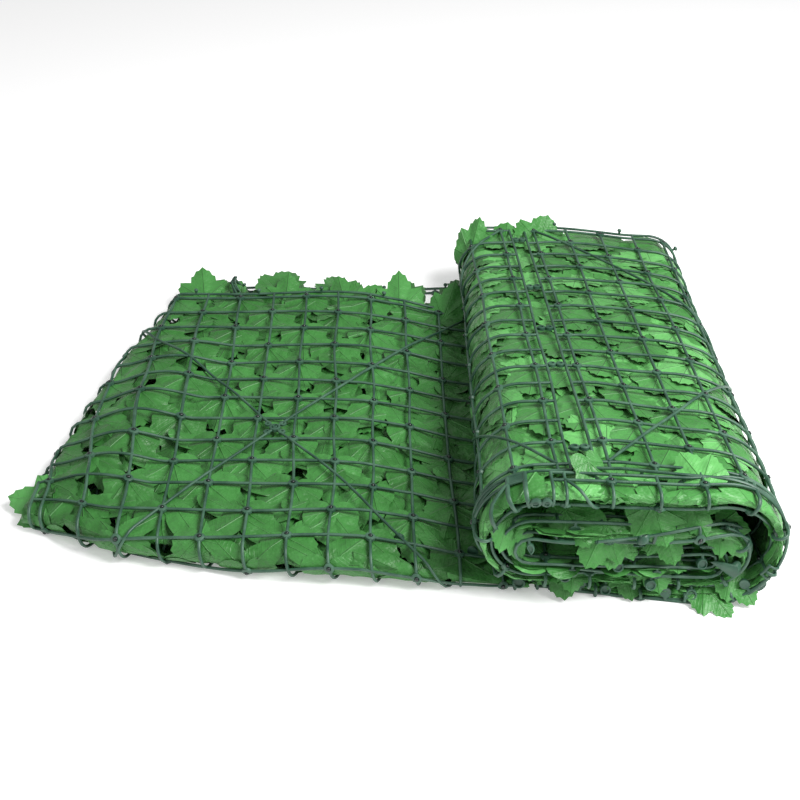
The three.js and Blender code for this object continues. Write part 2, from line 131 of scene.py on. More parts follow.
def along(table, at):
    return np.interp(at, table[:, 0], table[:, 1])


class Route:
    """A net's way through the winding at one end of the roll, sampled every half millimetre."""

    def __init__(self, rows, inner):
        side_of, reach, low, high = 0, 1 + 3 * inner, 2 + 3 * inner, 3 + 3 * inner
        points = [np.array([[LOOSE_END, rows[0][low]]])]
        for row in rows:
            radius = abs(row[high] - row[low]) / 2
            centre = (row[reach] - row[side_of] * radius, (row[low] + row[high]) / 2)
            begin = -math.pi / 2 if row[low] < row[high] else math.pi / 2
            sweep = row[side_of] * np.sign(row[high] - row[low]) * math.pi
            points.append(self.straight(points[-1][-1], (centre[0], row[low])))
            angles = begin + np.linspace(0, 1, 2 + int(2 * math.pi * radius)) * sweep
            points.append(np.stack([centre[0] + radius * np.cos(angles),
                                    centre[1] + radius * np.sin(angles)], 1))
        self.points = np.concatenate(points)
        self.length = float(np.hypot(*np.diff(self.points, axis=0).T).sum())

    @staticmethod
    def straight(start, end):
        count = 2 + int(2 * np.hypot(end[0] - start[0], end[1] - start[1]))
        return np.linspace(start, end, count)[1:]


class Winding:
    """The whole screen's path at one end: out along the outer net, round the core, and back."""

    SOFTEN = 9
    WINDOW = 90                          # how far along the other net its nearest point may be

    def __init__(self, rows):
        outer, inner = Route(rows, 0), Route(rows, 1)
        left = (SCREEN - outer.length - inner.length) / 2
        ends = [r.points[-1] - (left, 0) for r in (outer, inner)]
        core = (ends[0] + ends[1]) / 2
        line = np.concatenate([outer.points, Route.straight(outer.points[-1], ends[0]), [core],
                               Route.straight(ends[1], inner.points[-1]), inner.points[::-1]])
        run = np.concatenate([[0], np.cumsum(np.hypot(*np.diff(line, axis=0).T))])
        self.s = np.arange(0, SCREEN + 0.5)
        even = [np.interp(self.s * run[-1] / SCREEN, run, line[:, k]) for k in (0, 1)]
        kernel = np.hanning(self.SOFTEN + 2)
        kernel /= kernel.sum()
        pad = len(kernel) // 2
        self.x, self.z = [np.convolve(np.pad(e, pad, mode="reflect", reflect_type="odd"), kernel,
                                      mode="valid") for e in even]
        self.way = np.gradient(self.x), np.gradient(self.z)
        self.gap = self.apart()

    def apart(self):
        """The distance between the two nets, at each step of the inner one."""
        offsets = np.arange(-self.WINDOW, self.WINDOW + 1)
        facing = np.clip(len(self.s) - 1 - np.arange(len(self.s))[:, None] + offsets, 0,
                         len(self.s) - 1)
        return np.hypot(self.x[facing] - self.x[:, None], self.z[facing] - self.z[:, None]).min(1)

    def at(self, s):
        return np.interp(s, self.s, self.x), np.interp(s, self.s, self.z)

    def side(self, s):
        """The way off the net, towards its leaves."""
        dx, dz = [np.interp(s, self.s, w) for w in self.way]
        size = np.hypot(dx, dz)
        return -dz / size, dx / size


near_end, far_end = Winding(NEAR), Winding(FAR)


def wound(s, v):
    """A point of the wound screen, s along it from the floor net's loose end."""
    out = np.minimum(s, SCREEN - s)
    inner = s > SCREEN / 2
    margin = np.where(inner, along(MARGIN, out), 0)
    near_y = np.where(inner, along(TURN_LINE, out), along(NEAR_EDGE, out))
    ax, az = near_end.at(s)
    bx, bz = far_end.at(s)
    across = np.where(v < margin, 0, v - margin) / WIDTH
    reach = np.sqrt(WIDTH ** 2 - (az - bz) ** 2 - (ax - bx) ** 2)
    x, z = ax + (bx - ax) * across, az + (bz - az) * across
    beyond = np.maximum(margin - v, 0)
    radius = (np.interp(s, near_end.s, near_end.gap) + 1) / 2
    turn = np.minimum(beyond / radius, math.pi)
    side_x, side_z = near_end.side(s)
    rise = radius * (1 - np.cos(turn))
    back = np.maximum(beyond - math.pi * radius, 0) - radius * np.sin(turn)
    return np.stack([x + side_x * rise, near_y + reach * across + back, z + side_z * rise], -1)


def fold(p, line, radius, inset=0.0):
    """Turns what lies beyond a straight fold round a half circle and back."""
    (x0, y0), (x1, y1) = line["from"], line["to"]
    size = math.hypot(x1 - x0, y1 - y0)
    out = np.array([(y1 - y0) / size, -(x1 - x0) / size])
    if out[0] > 0:
        out = -out
    beyond = (p[..., 0] - x0) * out[0] + (p[..., 1] - y0) * out[1] + inset
    size = np.abs(radius)
    turn = np.clip(beyond / size, 0, math.pi)
    reach = np.where(turn < math.pi, size * np.sin(turn), math.pi * size - beyond)
    lean = np.maximum(-reach, 0) * line["lean"] * smooth(*LEAN_ZONE, p[..., 0])
    slant = smooth(*SQUARE_ZONE, p[..., 0])
    moved = np.stack([p[..., 0] + (reach - beyond) * out[0] * slant + lean,
                      p[..., 1] + (reach - beyond) * out[1],
                      p[..., 2] - np.sign(radius) * size * (1 - np.cos(turn))], -1)
    return np.where((beyond > 0)[..., None], moved, p)


def bowed(bow, at, across):
    """How far an edge's bow moves a point, from its place along the edge and across it."""
    share = np.maximum(0, 1 - ((at - bow["middle"]) / bow["half"]) ** 2)
    return bow["reach"] * share * smooth(bow["from"], bow["to"], across)


def settle(p):
    """Shapes the loose end in plan: its bowed edges, and the bunched near left corner."""
    x, y, z = p[..., 0], p[..., 1], p[..., 2]
    share = smooth(CORNER["from"], CORNER["to"], x)
    lift = CORNER["lift"] * share * (1 - smooth(-CORNER["fade"], 0, y))
    return np.stack([x - bowed(LEFT_BOW, y, x), y + lift - bowed(NEAR_BOW, x, y), z], -1)


def fold_depth(line, x):
    """Where a fold's line lies in y, at an x."""
    (x0, y0), (x1, y1) = line["from"], line["to"]
    return y0 + (y1 - y0) * (x - x0) / (x1 - x0)


def fold_edge(line, y):
    """Where a fold's line lies in x, at a y."""
    (x0, y0), (x1, y1) = line["from"], line["to"]
    return x0 + (x1 - x0) * (y - y0) / (y1 - y0)


def drag(x):
    """How far the roll drags the top net to the near side."""
    return DRAG["reach"] * smooth(DRAG["from"], DRAG["to"], x)


def ridge(x, y):
    """The hump along the left fold, which ends before the corners."""
    inside = (x - fold_edge(LEFT_FOLD, y) - RIDGE["crest"]) / RIDGE["half"]
    hump = np.maximum(0, 1 - inside ** 2)
    return RIDGE["rise"] * hump ** 2 * smooth(*RIDGE["far"], y) * smooth(*RIDGE["near"], y)


def top_net(u, v):
    """The loose end's top net, with its near and left margins turned under."""
    x = LOOSE_END + u
    y = v - WIDTH / 2 - drag(x)
    height = along(TOP_HEIGHT, x)
    p = np.stack([x, y, height + ridge(x, y)], -1)
    p = fold(p, LEFT_FOLD, (height - FLOOR_Z) / 2)
    return settle(fold(p, NEAR_FOLD, np.maximum((p[..., 2] - FLOOR_Z) / 2, 1)))


def tuck_lift(x, y):
    """How far the floor net is lifted over the top net's turned margins."""
    margin_near, margin_left, fade = 28, 30, 30
    turned = math.pi * (along(TOP_HEIGHT, x) - FLOOR_Z) / 2
    near_tuck = WIDTH / 2 + drag(x) + fold_depth(NEAR_FOLD, x) - turned + margin_near
    near = smooth(near_tuck + fade, near_tuck, y - fold_depth(NEAR_FOLD, x))
    left_tuck = fold_edge(LEFT_FOLD, y) - LOOSE_END - turned + margin_left
    left = smooth(left_tuck + fade, left_tuck, x - fold_edge(LEFT_FOLD, y))
    return along(FLOOR_LIFT, x) * np.maximum(near, left)


def floor_net(u, v):
    """The loose end's floor net, with its near and left margins turned up and in."""
    x = LOOSE_END + u
    y = NEAR_EDGE[0, 1] + v
    turn = along(FLOOR_TURN, x)
    p = np.stack([x, y, FLOOR_Z + tuck_lift(x, y)], -1)
    p = settle(fold(fold(p, LEFT_FOLD, -turn, FLAP_INSET), NEAR_FOLD, -turn, FLAP_INSET))
    up = smooth(*FLOOR_CORNER["across"], v) * smooth(*FLOOR_CORNER["along"], u)
    return p + up[..., None] * np.array(FLOOR_CORNER["move"])


def wobble(panel):
    """A panel's own unevenness: gentle waves along it, across it and off it."""
    own = np.random.default_rng(100 + panel)
    waves = own.uniform(-1, 1, (WAVES, 2)) * 2 * math.pi / WAVE_LENGTH
    phases = own.uniform(0, 2 * math.pi, (WAVES, 3))
    reach = WAVE_REACH if panel < PANELS else TOP_WAVE_REACH

    def shift(u, v):
        phase = u[..., None] * waves[:, 0] + v[..., None] * waves[:, 1]
        return np.sin(phase[..., None] + phases).sum(-2) * reach / (WAVES / 2)

    return shift


def surface_of(panel):
    """The surface of a panel, u along the screen and v across it. Its leaves lie on its plus side."""
    if panel == 1:
        return floor_net
    if panel == PANELS:
        return lambda u, v: top_net(LENGTH - u, v)
    return lambda u, v: wound((panel - 1) * STEP + u, v)


def bend(panel, points):
    """Carries points from a panel's own u, v and depth to their places, in millimetres."""
    surface, shift = surface_of(panel), wobble(panel)
    moved = shift(points[:, 0], points[:, 1])
    u, v = points[:, 0] + moved[:, 0], points[:, 1] + moved[:, 1]
    du = surface(u + 0.5, v) - surface(u - 0.5, v)
    dv = surface(u, v + 0.5) - surface(u, v - 0.5)
    normal = np.cross(du, dv)
    normal /= np.linalg.norm(normal, axis=1)[:, None]
    return surface(u, v) + normal * (points[:, 2] + moved[:, 2])[:, None]


SHARP_ANGLE = 50                         # in degrees: faces that meet at less are shaded as one


class Build:
    """Gathers points, faces and named point values for one mesh."""

    def __init__(self):
        self.points, self.faces, self.finishes, self.values, self.count = [], [], [], [], 0

    def add(self, points, faces, values=None, finish=0):
        points = np.asarray(points, float).reshape(-1, 3)
        self.points.append(points)
        self.faces += [[i + self.count for i in f] for f in faces]
        self.finishes += [finish] * len(faces)
        self.values.append(np.zeros((len(points), 3)) if values is None else values)
        self.count += len(points)

    def object(self, name, materials, place, value_name=None):
        points = place(np.concatenate(self.points))
        points[:, 2] = np.maximum(points[:, 2], LOWEST)
        mesh = bpy.data.meshes.new(name)
        mesh.from_pydata(((points + SHIFT) / 1000).tolist(), [], self.faces)
        if value_name:
            layer = mesh.attributes.new(value_name, "FLOAT_VECTOR", "POINT")
            layer.data.foreach_set("vector", np.concatenate(self.values).ravel())
        for material in materials:
            mesh.materials.append(material)
        mesh.polygons.foreach_set("material_index", self.finishes)
        mesh.polygons.foreach_set("use_smooth", [True] * len(mesh.polygons))
        mesh.update()
        mesh.set_sharp_from_angle(angle=math.radians(SHARP_ANGLE))
        thing = bpy.data.objects.new(name, mesh)
        bpy.context.scene.collection.objects.link(thing)
        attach(thing, "root")
        return thing


BAR_SIDES = 8
PLASTIC, PEG = 0, 1


def rings(count, sides):
    """The faces of a tube of rings, closed at both ends."""
    faces = []
    for i in range(count - 1):
        for k in range(sides):
            a, b = i * sides + k, i * sides + (k + 1) % sides
            faces.append([a, b, b + sides, a + sides])
    faces.append(list(range(sides))[::-1])
    faces.append([(count - 1) * sides + k for k in range(sides)])
    return faces


def bar(build, start, end, size, step, depths=(0.0, 0.0)):
    """A straight bar in a panel, from one (u, v) to another, closed at both ends."""
    start, end = np.array([*start, depths[0]], float), np.array([*end, depths[1]], float)
    way = (end - start) / np.linalg.norm(end - start)
    side = np.cross([0, 0, 1.0], way) if abs(way[2]) < 0.9 else np.array([1.0, 0, 0])
    side /= np.linalg.norm(side)
    up = np.cross(way, side)
    count = max(1, round(np.linalg.norm(end - start) / step))
    angles = (np.arange(BAR_SIDES) + 0.5) * 2 * math.pi / BAR_SIDES
    ring = size / 2 * (np.cos(angles)[:, None] * side + np.sin(angles)[:, None] * up)
    points = [start + (end - start) * t + ring for t in np.linspace(0, 1, count + 1)]
    build.add(np.concatenate(points), rings(count + 1, BAR_SIDES))


def turned(build, at, profile, sides=10, facing="off", finish=PLASTIC):
    """A turned shape on a panel: rows of (radius, height), its axis off the panel or across it."""
    angles = (np.arange(sides) + 0.5) * 2 * math.pi / sides
    points = []
    for radius, height in profile:
        for a in angles:
            x, y = radius * math.cos(a), radius * math.sin(a)
            off = (x, y, height) if facing == "off" else (x, height, -y)
            points.append(np.array(at) + off)
    faces = rings(len(profile), sides)
    if profile[-1][1] < profile[0][1]:
        faces = [f[::-1] for f in faces]
    build.add(points, faces, finish=finish)


LINES_U = [0, *np.linspace(EDGE_CELL, LENGTH - EDGE_CELL, CELLS[0] + 1), LENGTH]
LINES_V = [0, *np.linspace(EDGE_CELL, WIDTH - EDGE_CELL, CELLS[1] + 1), WIDTH]
MIDDLE = (LENGTH / 2, WIDTH / 2)
LONG_STEP, CROSS_STEP = 5.0, 3.6         # how long a bar's faces are, along the screen and across
RIB, RIB_DEPTH = 2.3, -0.7               # the ribs to the hub, raised on the net's outer side
HUB_DEPTH, HUB_LOOPS = -0.6, 8.5         # the hub, raised too, and how far from it its loops stand
LINK_ROWS = [30.0, 165.0, 240.0, 330.0, 450.0]
LINK_STEP = 4.0
RING_INSET = 4.2                         # a connector's rings, from the edges that it joins
TAB_PANEL, TAB_AT = 2, 168.0             # where the one open tab is
STUD_PITCH = 60.0
STUD_OUT = 1.0                           # how far out from the edge bar a stud hangs
STEM_REACH, STUD_REACH = 4.5, 6.8        # how far off the net its stem ends and its disc stands
STEM_STEP = 3.0
EDGE_PROBE = 4.0                         # how far inside an edge its side to the ground is read

# Turned fittings, seen from the net's outer side: rows of radius and height off the net
COLLAR = [(3.9, 0.8), (3.9, -1.2), (2.4, -1.9), (1.9, -1.9), (1.7, -1.2)]
PEG_HEAD = [(1.5, -1.0), (1.5, -2.3), (1.1, -2.8), (0.5, -3.0)]
RING = [(3.4, 1.2), (3.4, -1.2), (2.7, -1.7), (1.7, -1.7), (1.5, -0.6), (0.3, -0.6)]
HUB_RING = [(4.6, 1.0), (4.6, -1.4), (3.9, -1.8), (2.9, -1.8), (2.7, 0.2), (0.4, 0.2)]
HUB_LOOP = [(3.0, 0.6), (3.0, -0.9), (2.4, -1.2), (1.5, -1.2), (1.3, 0.1), (0.3, 0.1)]
STUD = [(4.0, 1.3), (4.2, 0.8), (4.2, -0.8), (3.7, -1.3), (2.9, -1.3), (2.6, -0.7), (0.6, -0.7)]
PIN = [(1.1, 0.0), (1.1, 2.6), (1.9, 3.2), (2.1, 4.2), (1.5, 5.2), (0.6, 5.6)]
STUD_ROOM = 12.0                         # the height over the ground that a hanging stud needs


def pegs_of(panel):
    """Where a panel's leaf pegs stand: every second crossing, in a staggered pattern."""
    return [(u, v) for i, u in enumerate(LINES_U[1:-1]) for j, v in enumerate(LINES_V[1:-1])
            if (i + j + panel) % 2 == 0]


def net_bars(build):
    """A panel's bars both ways, and the ribs from its corners to the hub."""
    for v in LINES_V:
        bar(build, (0, v), (LENGTH, v), BAR, LONG_STEP)
    for u in LINES_U:
        bar(build, (u, 0), (u, WIDTH), BAR, CROSS_STEP)
    for u in (LINES_U[1], LINES_U[-2]):
        for v in (LINES_V[1], LINES_V[-2]):
            bar(build, (u, v), MIDDLE, RIB, LONG_STEP, (RIB_DEPTH, RIB_DEPTH))


def downward(panel, u, v):
    """Which side of a panel faces the ground at a place: 1 for its leaves' side, or -1."""
    u, v = np.array([u]), np.array([v])
    surface = surface_of(panel)
    du, dv = surface(u + 1, v) - surface(u - 1, v), surface(u, v + 1) - surface(u, v - 1)
    return 1 if np.cross(du, dv)[0, 2] < 0 else -1


def edge_studs(build, panel):
    """Round studs that hang from the near edge, and pins that stand on the far one."""
    for k in range(int(LENGTH / STUD_PITCH)):
        u = STUD_PITCH * (k + 0.5)
        down = downward(panel, u, EDGE_PROBE)
        if surface_of(panel)(np.array([u]), np.array([0.0]))[0, 2] < STUD_ROOM:
            down = -down                 # it stands up where the ground is close
        bar(build, (u, 0), (u, -STUD_OUT), BAR, STEM_STEP, (0, STEM_REACH * down))
        turned(build, (u, -STUD_OUT, STUD_REACH * down), STUD, 14, "across")
        up = -downward(panel, u, WIDTH - EDGE_PROBE)
        turned(build, (u, WIDTH, 0), [(r, up * h) for r, h in PIN], 10)


def net_fittings(build, panel):
    """Pegs in their collars, the hub, the corner plate, and the connectors to the next panel."""
    for u, v in pegs_of(panel):
        turned(build, (u, v, 0), COLLAR, 8)
        turned(build, (u, v, 0), PEG_HEAD, 8, finish=PEG)
    turned(build, (*MIDDLE, HUB_DEPTH), HUB_RING, 14)
    for k in range(4):
        angle = (k + 0.5) * math.pi / 2
        out = (HUB_LOOPS * math.cos(angle), HUB_LOOPS * math.sin(angle))
        turned(build, (MIDDLE[0] + out[0], MIDDLE[1] + out[1], HUB_DEPTH), HUB_LOOP, 10)
    if panel < PANELS:
        for v in LINK_ROWS:
            bar(build, (LENGTH, v), (LENGTH + SEAM, v), THIN_BAR, LINK_STEP)
            for u in (RING_INSET, SEAM - RING_INSET):
                turned(build, (LENGTH + u, v, 0), RING, 12)
    at_start = panel <= PANELS // 2
    corner_plate(build, (0, WIDTH - EDGE_CELL) if at_start else (LENGTH - EDGE_CELL, 0))


def corner_plate(build, corner):
    """A solid plate in a corner cell of the net."""
    (u0, v0), (u1, v1) = corner, (corner[0] + EDGE_CELL, corner[1] + EDGE_CELL)
    half = 0.7
    ring = [(u0, v0), (u1, v0), (u1, v1), (u0, v1)]
    points = [(*p, -half) for p in ring] + [(*p, half) for p in ring]
    build.add(points, rings(2, 4))


def open_tab(build, u):
    """A loop that stands past the near edge, with nothing in it."""
    reach, wide, past = 13.0, 11.0, 1.0
    for side in (u, u + wide):
        bar(build, (side, 0), (side, -reach), THIN_BAR, LINK_STEP)
    bar(build, (u - past, -reach), (u + wide + past, -reach), BAR, LINK_STEP)


# Half of a leaf's outline from its tip to its stalk: degrees off the tip, and reach as a share
# of the leaf's length. A lobed leaf has toothed points, and a plain one is an even oval.
LOBED = [(0, 1.00), (5, 0.92), (9, 0.93), (14, 0.82), (18, 0.83), (24, 0.66), (31, 0.72), (38, 0.80),
         (44, 0.72), (49, 0.73), (56, 0.62), (63, 0.63), (71, 0.54), (82, 0.54), (95, 0.53),
         (110, 0.50), (125, 0.43), (140, 0.33), (155, 0.23), (168, 0.14)]
PLAIN = [(0, 1.00), (7, 0.97), (14, 0.88), (22, 0.74), (31, 0.60), (42, 0.47), (56, 0.34),
         (74, 0.23), (98, 0.15), (135, 0.10)]
LEAF_LENGTH = 48.0
LEAF_RINGS = (0.36, 0.70, 1.0)
STALK_REACH = 0.08
VEINS = (0, 40, 80)                      # of one half, in degrees off the tip
PLEAT_REACH = 20                         # how far from a vein a pleat rises, in degrees
CREASE = 0.10                            # height of a pleat, as a share of the leaf's length


class LeafShape:
    """A flat leaf of length 1: its stalk at the origin, its tip on +y, and how far it is pleated."""

    def __init__(self, half):
        polar = half + [(180, STALK_REACH)] + [(360 - a, r) for a, r in half[:0:-1]]
        points, pleats = [(0.0, 0.0)], [0.0]
        for ring in LEAF_RINGS:
            for degrees, reach in polar:
                angle = math.radians(degrees)
                points.append((reach * ring * math.sin(angle), reach * ring * math.cos(angle)))
                off = min(abs(min(degrees, 360 - degrees) - vein) for vein in VEINS)
                pleats.append(min(off, PLEAT_REACH) / PLEAT_REACH * ring * reach)
        n = len(polar)
        self.faces = [[0, 1 + (k + 1) % n, 1 + k] for k in range(n)]
        for i in range(len(LEAF_RINGS) - 1):
            for k in range(n):
                a, b = 1 + i * n + k, 1 + i * n + (k + 1) % n
                self.faces.append([a, b, b + n, a + n])
        self.points, self.pleats = np.array(points), np.array(pleats)

    def formed(self, length, width, pleat, cup, curl=0.0):
        """Its points across, along and off its own plane, in millimetres."""
        x, y = self.points[:, 0] * length * width, self.points[:, 1] * length
        off = (pleat * CREASE * length * self.pleats + curl * y * y / length
               + cup * x * x / length)
        return x, y, off

    def values(self, tone):
        return np.column_stack([self.points, np.full(len(self.points), tone)])


lobed, plain = LeafShape(LOBED), LeafShape(PLAIN)


def leaf(build, shape, at, heading, depth, size, tone, tilt, roll, **form):
    """One leaf in a panel: its stalk at (u, v), its tip along the heading, in degrees."""
    x, y, off = shape.formed(LEAF_LENGTH * size, **form)
    angle = math.radians(heading)
    u = at[0] + y * math.cos(angle) - x * math.sin(angle)
    v = at[1] + y * math.sin(angle) + x * math.cos(angle)
    w = depth + tilt * y + roll * x + off
    build.add(np.column_stack([u, v, w]), shape.faces, shape.values(tone))


# Leaves that lie along their net, by panel: how many a peg holds, and how far their tips may
# stand past its near and far edges
LYING = {1: (2, 4, 14), 2: (3, 12, 2), 3: (3, 12, 14), 4: (2, 12, 10), 5: (2, 8, 8), 6: (3, 12, 8),
         7: (3, 12, 8)}
# Leaves that stand between the loose end's nets: the heading and shape of each in a bunch
STANDING = ((-90, "lobed"), (38, "plain"), (142, "plain"))
# How deep the leaves may lie under a panel in the roll. On the loose end it is worked out.
ROLL_ROOM = {2: 4.4, 3: 4.4, 4: 3.6, 5: 3.2, 6: 3.6, 7: 3.6}
FOLD_ROOM, FOLD_GAIN = 3.0, 0.25         # room for leaves at a fold, and its growth from there
BARS_ROOM = 5.0                          # the bars and some air, of the height between the nets
LEAST_ROOM = 2.6                         # on the loose end
BARE_EDGE = 30.0                         # the floor net's far edge, which shows between leaves

# A leaf's tone, from dark to pale, on the loose end's panels and in the roll. Beside their random
# spread, these ranges paint light and shade: the roll's leaves are shifted paler as painted light,
# and the loose end's, the floor net's most, are kept darker as painted shade
LOOSE_END_SHADE_TONES = {1: (0.0, 0.4), 8: (0.0, 0.75)}
ROLL_LIGHT_TONES = (0.5, 1.25)

# What varies from leaf to leaf, from the least to the most, of those that lie and that stand
SPREAD = 26                              # how far a leaf's heading strays, in degrees
OVERHANG = (0.2, 1)                      # the share of the way past an edge that a tip may go
LIES = {"size": (0.86, 1.06), "shift": (-4, 4), "turn": (-30, 30), "under": (0.4, 2.2),
        "top pleat": (0.2, 0.5), "pleat": (0.3, 1.0), "tilt": (-0.01, 0.02), "roll": (-0.05, 0.05),
        "width": (0.78, 0.95), "cup": (0.01, 0.04)}
STANDS = {"size": (0.84, 1.0), "drop": (0.3, 0.85), "roll": (-0.08, 0.08), "width": (0.80, 0.95),
          "pleat": (0.5, 1.2), "cup": (0.1, 0.3)}
TIP_DEPTH = 1.4                          # how deep the tip of a leaf that lies on top is
LYING_PLEAT_ROOM = 5                     # the least room for full pleats on a leaf that lies
PLEAT_ROOM, CUP_ROOM = 6, 8              # and for full pleats and full cup on one that stands
TOP_DEPTH, TOP_SHARE = 1.9, 0.45         # depth of its upper end, and the most of the room
FLOOR_CLEARANCE = 4                      # kept free under a leaf that stands


def room_at(panel, place):
    """How deep the leaves may lie under a panel, before they meet the facing one's."""
    if panel in ROLL_ROOM:
        return ROLL_ROOM[panel]
    x = LOOSE_END + (place[0] if panel == 1 else LENGTH - place[0])
    y = place[1] - WIDTH / 2
    room = 0.5 * (along(TOP_HEIGHT, x) + (ridge(x, y) if panel == PANELS else 0) - BARS_ROOM)
    inside = min(x - fold_edge(LEFT_FOLD, y), y - fold_depth(NEAR_FOLD, x))
    return max(min(room, FOLD_ROOM + FOLD_GAIN * max(inside, 0)), LEAST_ROOM)


def standing_leaves(build, place, room, tone):
    """A bunch under the top net: a lobed leaf hangs down from it, and plain ones rise to it."""
    slope = (2 * room - FLOOR_CLEARANCE) / LEAF_LENGTH
    top = min(TOP_DEPTH, TOP_SHARE * room)
    for heading, kind in STANDING:
        heading += rng.uniform(-SPREAD, SPREAD)
        size = rng.uniform(*STANDS["size"])
        tip = place[1] + LEAF_LENGTH * size * math.sin(math.radians(heading))
        if tip > WIDTH or tip < 0:
            heading = -heading
        hangs = kind == "lobed"
        drop = slope * rng.uniform(*STANDS["drop"])
        depth = top if hangs else top + drop * LEAF_LENGTH * size
        leaf(build, lobed if hangs else plain, place, heading, depth, size, rng.uniform(*tone),
             tilt=drop if hangs else -drop, roll=rng.uniform(*STANDS["roll"]),
             width=rng.uniform(*STANDS["width"]),
             pleat=rng.uniform(*STANDS["pleat"]) * min(1, room / PLEAT_ROOM),
             cup=rng.uniform(*STANDS["cup"]) * min(1, room / CUP_ROOM))


def lying_leaves(build, panel, place, room, tone):
    """A bunch along a net: one leaf with its tip to the near edge, the others spread evenly round."""
    count, near, far = LYING[panel]
    for k in range(count):
        heading = -90 + 360 / count * k + rng.uniform(-SPREAD, SPREAD)
        size = rng.uniform(*LIES["size"])
        at = (place[0] + rng.uniform(*LIES["shift"]), place[1] + rng.uniform(*LIES["shift"]))
        tip = at[1] + LEAF_LENGTH * size * math.sin(math.radians(heading))
        if tip < -near * rng.uniform(*OVERHANG) or tip > WIDTH + far * rng.uniform(*OVERHANG):
            heading = -heading + rng.uniform(*LIES["turn"])
        on_top = k == 0                  # its tip lies over the next bunch, as a scale does
        rise = (room - TIP_DEPTH) / (LEAF_LENGTH * size) if on_top else 0
        depth = room if on_top else room + rng.uniform(*LIES["under"])
        pleat = rng.uniform(*LIES["top pleat" if on_top else "pleat"])
        leaf(build, lobed, at, heading, depth, size, rng.uniform(*tone),
             tilt=-rise + rng.uniform(*LIES["tilt"]), roll=rng.uniform(*LIES["roll"]),
             width=rng.uniform(*LIES["width"]), pleat=pleat * min(1, room / LYING_PLEAT_ROOM),
             cup=rng.uniform(*LIES["cup"]) * room)


def panel_leaves(build, panel):
    """A panel's leaves, in bunches at its pegs."""
    # the range of tones carries painted light and shade: paler in the roll, darker on the loose end
    tone = LOOSE_END_SHADE_TONES.get(panel, ROLL_LIGHT_TONES)
    for place in pegs_of(panel):
        room = room_at(panel, place)
        if panel == PANELS:
            standing_leaves(build, place, room, tone)
        elif panel > 1 or place[1] <= WIDTH - BARE_EDGE:
            lying_leaves(build, panel, place, room, tone)


# Leaves that stand out singly: the place of the stalk, of the tip, the way the face looks, width,
# curl and tone
SINGLE_LEAVES = [
    ((-83, 248, 19), (-88, 283, 31), (0.1, -0.6, 1), 0.95, -0.05, 0.8),
    ((-60, 252, 16), (-49, 274, 23), (0.2, -0.5, 1), 0.90, 0.05, 0.6),
    ((-5, 238, 17), (-3, 275, 28), (0.0, -0.6, 1), 0.85, -0.05, 0.7),
    ((52, 234, 18), (45, 270, 28), (-0.1, -0.6, 1), 0.85, 0.0, 0.6),
    ((68, 236, 15), (88, 262, 23), (0.3, -0.5, 1), 0.85, 0.05, 0.5),
    ((104, 228, 15), (104, 274, 30), (0.0, -0.6, 1), 0.90, -0.05, 0.9),
    ((146, 216, 14), (158, 250, 34), (-0.2, -0.8, 0.6), 0.70, 0.05, 0.6),
    ((-168, -82, 13), (-206, -72, 15), (-0.2, -0.5, 1), 0.95, 0.1, 1.0),
    ((174, 276, 50), (182, 288, 82), (-0.4, -0.9, 0.4), 0.70, 0.05, 0.9),
    ((207, 284, 56), (212, 305, 70), (0.0, -0.8, 0.5), 1.00, 0.1, 0.6),
    ((243, 288, 57), (251, 308, 74), (0.1, -0.8, 0.5), 1.05, 0.0, 0.8),
    ((300, -182, 104), (291, -161, 109), (-0.1, -0.6, 1), 0.75, 0.05, 1.1),
    ((230, -180, 102), (237, -195, 90), (0.5, -0.7, 0.5), 0.50, 0.20, 0.6),
    ((272, -196, 80), (279, -209, 61), (0.0, -1, 0.35), 0.78, 0.15, 0.7),
    ((298, -194, 80), (306, -206, 68), (0.1, -1, 0.3), 0.70, 0.10, 0.5),
    ((236, -196, 66), (224, -211, 45), (-0.2, -1, 0.4), 0.80, 0.15, 0.6),
    ((248, -194, 60), (241, -209, 42), (0.1, -1, 0.3), 0.70, 0.10, 0.8),
    ((282, -194, 58), (287, -206, 43), (0.1, -1, 0.3), 0.70, 0.10, 0.5),
    ((322, -192, 62), (338, -202, 47), (0.3, -1, 0.3), 0.60, 0.15, 0.7),
    ((174, -190, 66), (184, -202, 47), (0.5, -1, 0.2), 0.60, 0.30, 0.9),
    ((216, -190, 70), (227, -204, 58), (0.1, -1, 0.4), 0.60, 0.10, 0.6),
    ((213, -178, 26), (214, -196, 5), (0.0, -1, 0.5), 0.80, 0.10, 0.2),
    ((220, -180, 32), (218, -198, 13), (0.0, -1, 0.5), 0.70, 0.10, 0.8),
    # this hanging leaf's low tone is painted shade
    ((258, -180, 20), (262, -196, 4), (0.0, -1, 0.6), 0.65, 0.10, 0.1),
    ((276, -188, 34), (280, -201, 14), (0.0, -1, 0.4), 0.80, 0.10, 0.7),
    ((318, -194, 9), (330, -212, 3), (0.1, -0.5, 1), 0.66, 0.08, 0.8),
    ((336, -188, 20), (348, -204, 6), (0.4, -1, 0.5), 0.70, 0.10, 0.8),
    ((360, -186, 66), (370, -187, 48), (1, -0.5, 0.3), 0.60, 0.05, 0.9),
]


SINGLE_STALK = 0.1 * LEAF_LENGTH         # the least that a leaf starts before its place above
SHORTEST_LEAF = 0.65 * LEAF_LENGTH
SINGLE_FORM = {"pleat": 0.9, "cup": 0.25}


def single_leaf(build, base, tip, face, width, curl, tone):
    """One leaf that stands out from the rest, from its stalk to its tip."""
    base, way = np.array(base, float), np.array(tip, float) - base
    length = np.linalg.norm(way)
    way /= length
    side = np.cross(way, np.array(face, float))
    side /= np.linalg.norm(side)
    off = np.cross(side, way)
    full = max(length + SINGLE_STALK, SHORTEST_LEAF)
    x, y, w = lobed.formed(full, width=width * LEAF_LENGTH / full, curl=curl, **SINGLE_FORM)
    start = base + way * (length - full)
    points = start + x[:, None] * side + y[:, None] * way - w[:, None] * off
    build.add(points, lobed.faces, lobed.values(tone))


